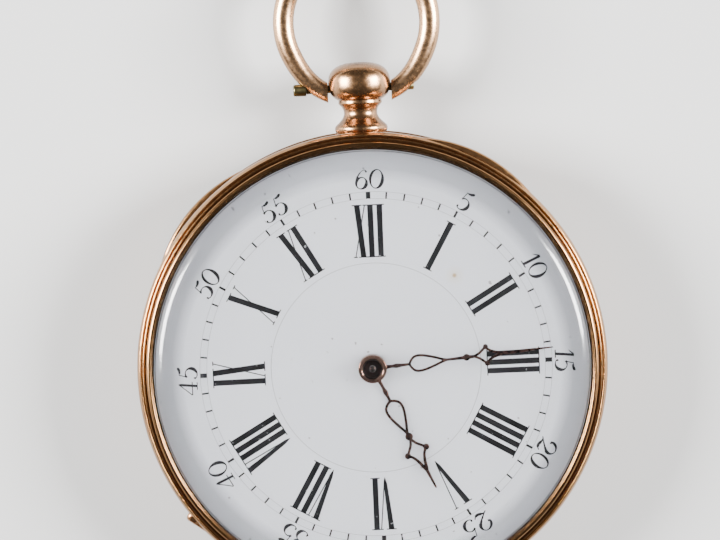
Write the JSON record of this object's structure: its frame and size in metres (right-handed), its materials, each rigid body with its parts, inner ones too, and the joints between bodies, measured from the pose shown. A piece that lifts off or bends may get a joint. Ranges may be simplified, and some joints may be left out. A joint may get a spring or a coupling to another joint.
{
  "type": "open face pocket watch",
  "caption": "Open face pocket watch in rose gold with a ball pendant, round bow, white enamel dial with Roman hours, openwork hands, hinged bezel and back, and a key-wound movement.",
  "frame": {"origin": "centre of the back cover's flat outer face, on which the watch lies", "axes": "+Z out of the dial, +Y towards 12 o'clock and the bow, +X towards 3 o'clock"},
  "size_m": [0.045, 0.0635, 0.0109],
  "materials": {
    "rose_gold": "polished rose gold, lightly worn",
    "brass": "polished",
    "enamel": "fired white enamel with printed figures",
    "copper": "bare copper",
    "gilt_brass": "frosted gilt",
    "steel": "fine ground",
    "blued_steel": "heat blued and polished",
    "watch_glass": "clear and domed",
    "hand_bronze": "dark rose brown, oxidised"
  },
  "bodies": {
    "case": {"case_middle": "rose_gold", "pendant": "rose_gold", "bezel_hinge_pin": "brass", "back_hinge_pin": "brass", "dial_enamel": "enamel", "dial_copper": "copper", "main_plate": "gilt_brass", "barrel_bridge": "gilt_brass", "centre_cock": "gilt_brass", "third_cock": "gilt_brass", "fourth_cock": "gilt_brass", "escape_cock": "gilt_brass", "balance_cock": "gilt_brass", "minute_post": "steel", "click_screw": "blued_steel", "click_spring": "steel", "hairspring_stud": "steel", "balance_endpiece": "steel", "screw_centre": "blued_steel", "screw_third": "blued_steel", "screw_fourth": "blued_steel", "screw_escape": "blued_steel", "screw_balance": "blued_steel", "screw_barrel_a": "blued_steel", "screw_barrel_b": "blued_steel"},
    "front": {"bezel": "rose_gold", "crystal": "watch_glass"},
    "back": {"back_cover": "rose_gold"},
    "inner_back": {"cuvette": "rose_gold"},
    "bow_body": {"bow": "rose_gold", "bow_screw": "brass"},
    "setting": {"setting_arbor": "steel", "cannon_pinion": "steel", "minute_hand": "hand_bronze"},
    "hours": {"hour_wheel": "brass", "hour_hand": "hand_bronze"},
    "minute_work": {"minute_wheel": "brass", "minute_pinion": "steel"},
    "fourth": {"fourth_wheel": "brass", "fourth_pinion": "steel"},
    "third": {"third_wheel": "brass", "third_pinion": "steel"},
    "centre": {"centre_wheel": "brass", "centre_pinion": "steel"},
    "barrel": {"barrel_drum": "gilt_brass", "barrel_cover": "gilt_brass", "mainspring": "blued_steel"},
    "escape": {"escape_wheel": "steel", "escape_pinion": "steel"},
    "winding": {"barrel_arbor": "steel", "ratchet_wheel": "steel"},
    "click_body": {"click": "steel"},
    "balance": {"balance_wheel": "brass", "balance_cylinder": "steel", "hairspring": "blued_steel"},
    "regulator_body": {"regulator": "steel"}
  },
  "joints": [
    {"name": "bow_swing", "type": "hinge", "parent": "case", "child": "bow_body", "pos_m": [0, 0.02667, 0.0049], "axis": [1, 0, 0], "range_deg": [-110, 110]},
    {"name": "bezel_open", "type": "hinge", "parent": "case", "child": "front", "pos_m": [-0.01264, -0.01739, 0.0073], "axis": [0.809, -0.5878, 0], "range_deg": [0, 95]},
    {"name": "back_open", "type": "hinge", "parent": "case", "child": "back", "pos_m": [0.01598, -0.01439, 0.0025], "axis": [-0.6691, -0.7431, 0], "range_deg": [0, 100]},
    {"name": "cuvette_open", "type": "hinge", "parent": "case", "child": "inner_back", "pos_m": [0.01598, -0.01439, 0.0025], "axis": [-0.6691, -0.7431, 0], "range_deg": [0, 85]},
    {"name": "hand_setting", "type": "hinge", "parent": "case", "child": "setting", "pos_m": [0, 0, 0.008], "axis": [0, 0, -1], "continuous": true},
    {"name": "hour_turn", "type": "hinge", "parent": "case", "child": "hours", "pos_m": [0, 0, 0.008], "axis": [0, 0, -1], "continuous": true},
    {"name": "minute_work_turn", "type": "hinge", "parent": "case", "child": "minute_work", "pos_m": [0.00156, -0.0027, 0.007], "axis": [0, 0, -1], "continuous": true},
    {"name": "fourth_turn", "type": "hinge", "parent": "case", "child": "fourth", "pos_m": [-0.00573, -0.00688, 0.0045], "axis": [0, 0, -1], "continuous": true},
    {"name": "third_turn", "type": "hinge", "parent": "case", "child": "third", "pos_m": [-0.00674, -0.00119, 0.005], "axis": [0, 0, -1], "continuous": true},
    {"name": "centre_turn", "type": "hinge", "parent": "case", "child": "centre", "pos_m": [0, 0, 0.0037], "axis": [0, 0, -1], "continuous": true},
    {"name": "barrel_turn", "type": "hinge", "parent": "case", "child": "barrel", "pos_m": [0.0049, 0.00849, 0.0045], "axis": [0, 0, -1], "continuous": true},
    {"name": "escape_turn", "type": "hinge", "parent": "case", "child": "escape", "pos_m": [-0.00108, -0.00857, 0.004], "axis": [0, 0, -1], "continuous": true},
    {"name": "winding_turn", "type": "hinge", "parent": "case", "child": "winding", "pos_m": [0.0049, 0.00849, 0.0025], "axis": [0, 0, 1], "continuous": true},
    {"name": "click_lift", "type": "hinge", "parent": "case", "child": "click_body", "pos_m": [0.00161, 0.01125, 0.0025], "axis": [0, 0, 1], "range_deg": [0, 12], "stiffness_Nm_per_rad": 0.00002, "springref_deg": -5.73},
    {"name": "balance_swing", "type": "hinge", "parent": "case", "child": "balance", "pos_m": [0.00224, -0.0109, 0.003], "axis": [0, 0, 1], "range_deg": [-150, 150], "stiffness_Nm_per_rad": 0.000002},
    {"name": "regulator_turn", "type": "hinge", "parent": "case", "child": "regulator_body", "pos_m": [0.00224, -0.0109, 0.0021], "axis": [0, 0, 1], "range_deg": [-20, 20]}
  ],
  "couplings": [
    {"joint": "cuvette_open", "follows": "back_open", "ratio": 0.85},
    {"joint": "hour_turn", "follows": "hand_setting", "ratio": 0.083333},
    {"joint": "minute_work_turn", "follows": "hand_setting", "ratio": -0.33333},
    {"joint": "third_turn", "follows": "fourth_turn", "ratio": -0.13333},
    {"joint": "centre_turn", "follows": "fourth_turn", "ratio": 0.016667},
    {"joint": "barrel_turn", "follows": "fourth_turn", "ratio": -0.0027778},
    {"joint": "escape_turn", "follows": "fourth_turn", "ratio": -10}
  ]
}
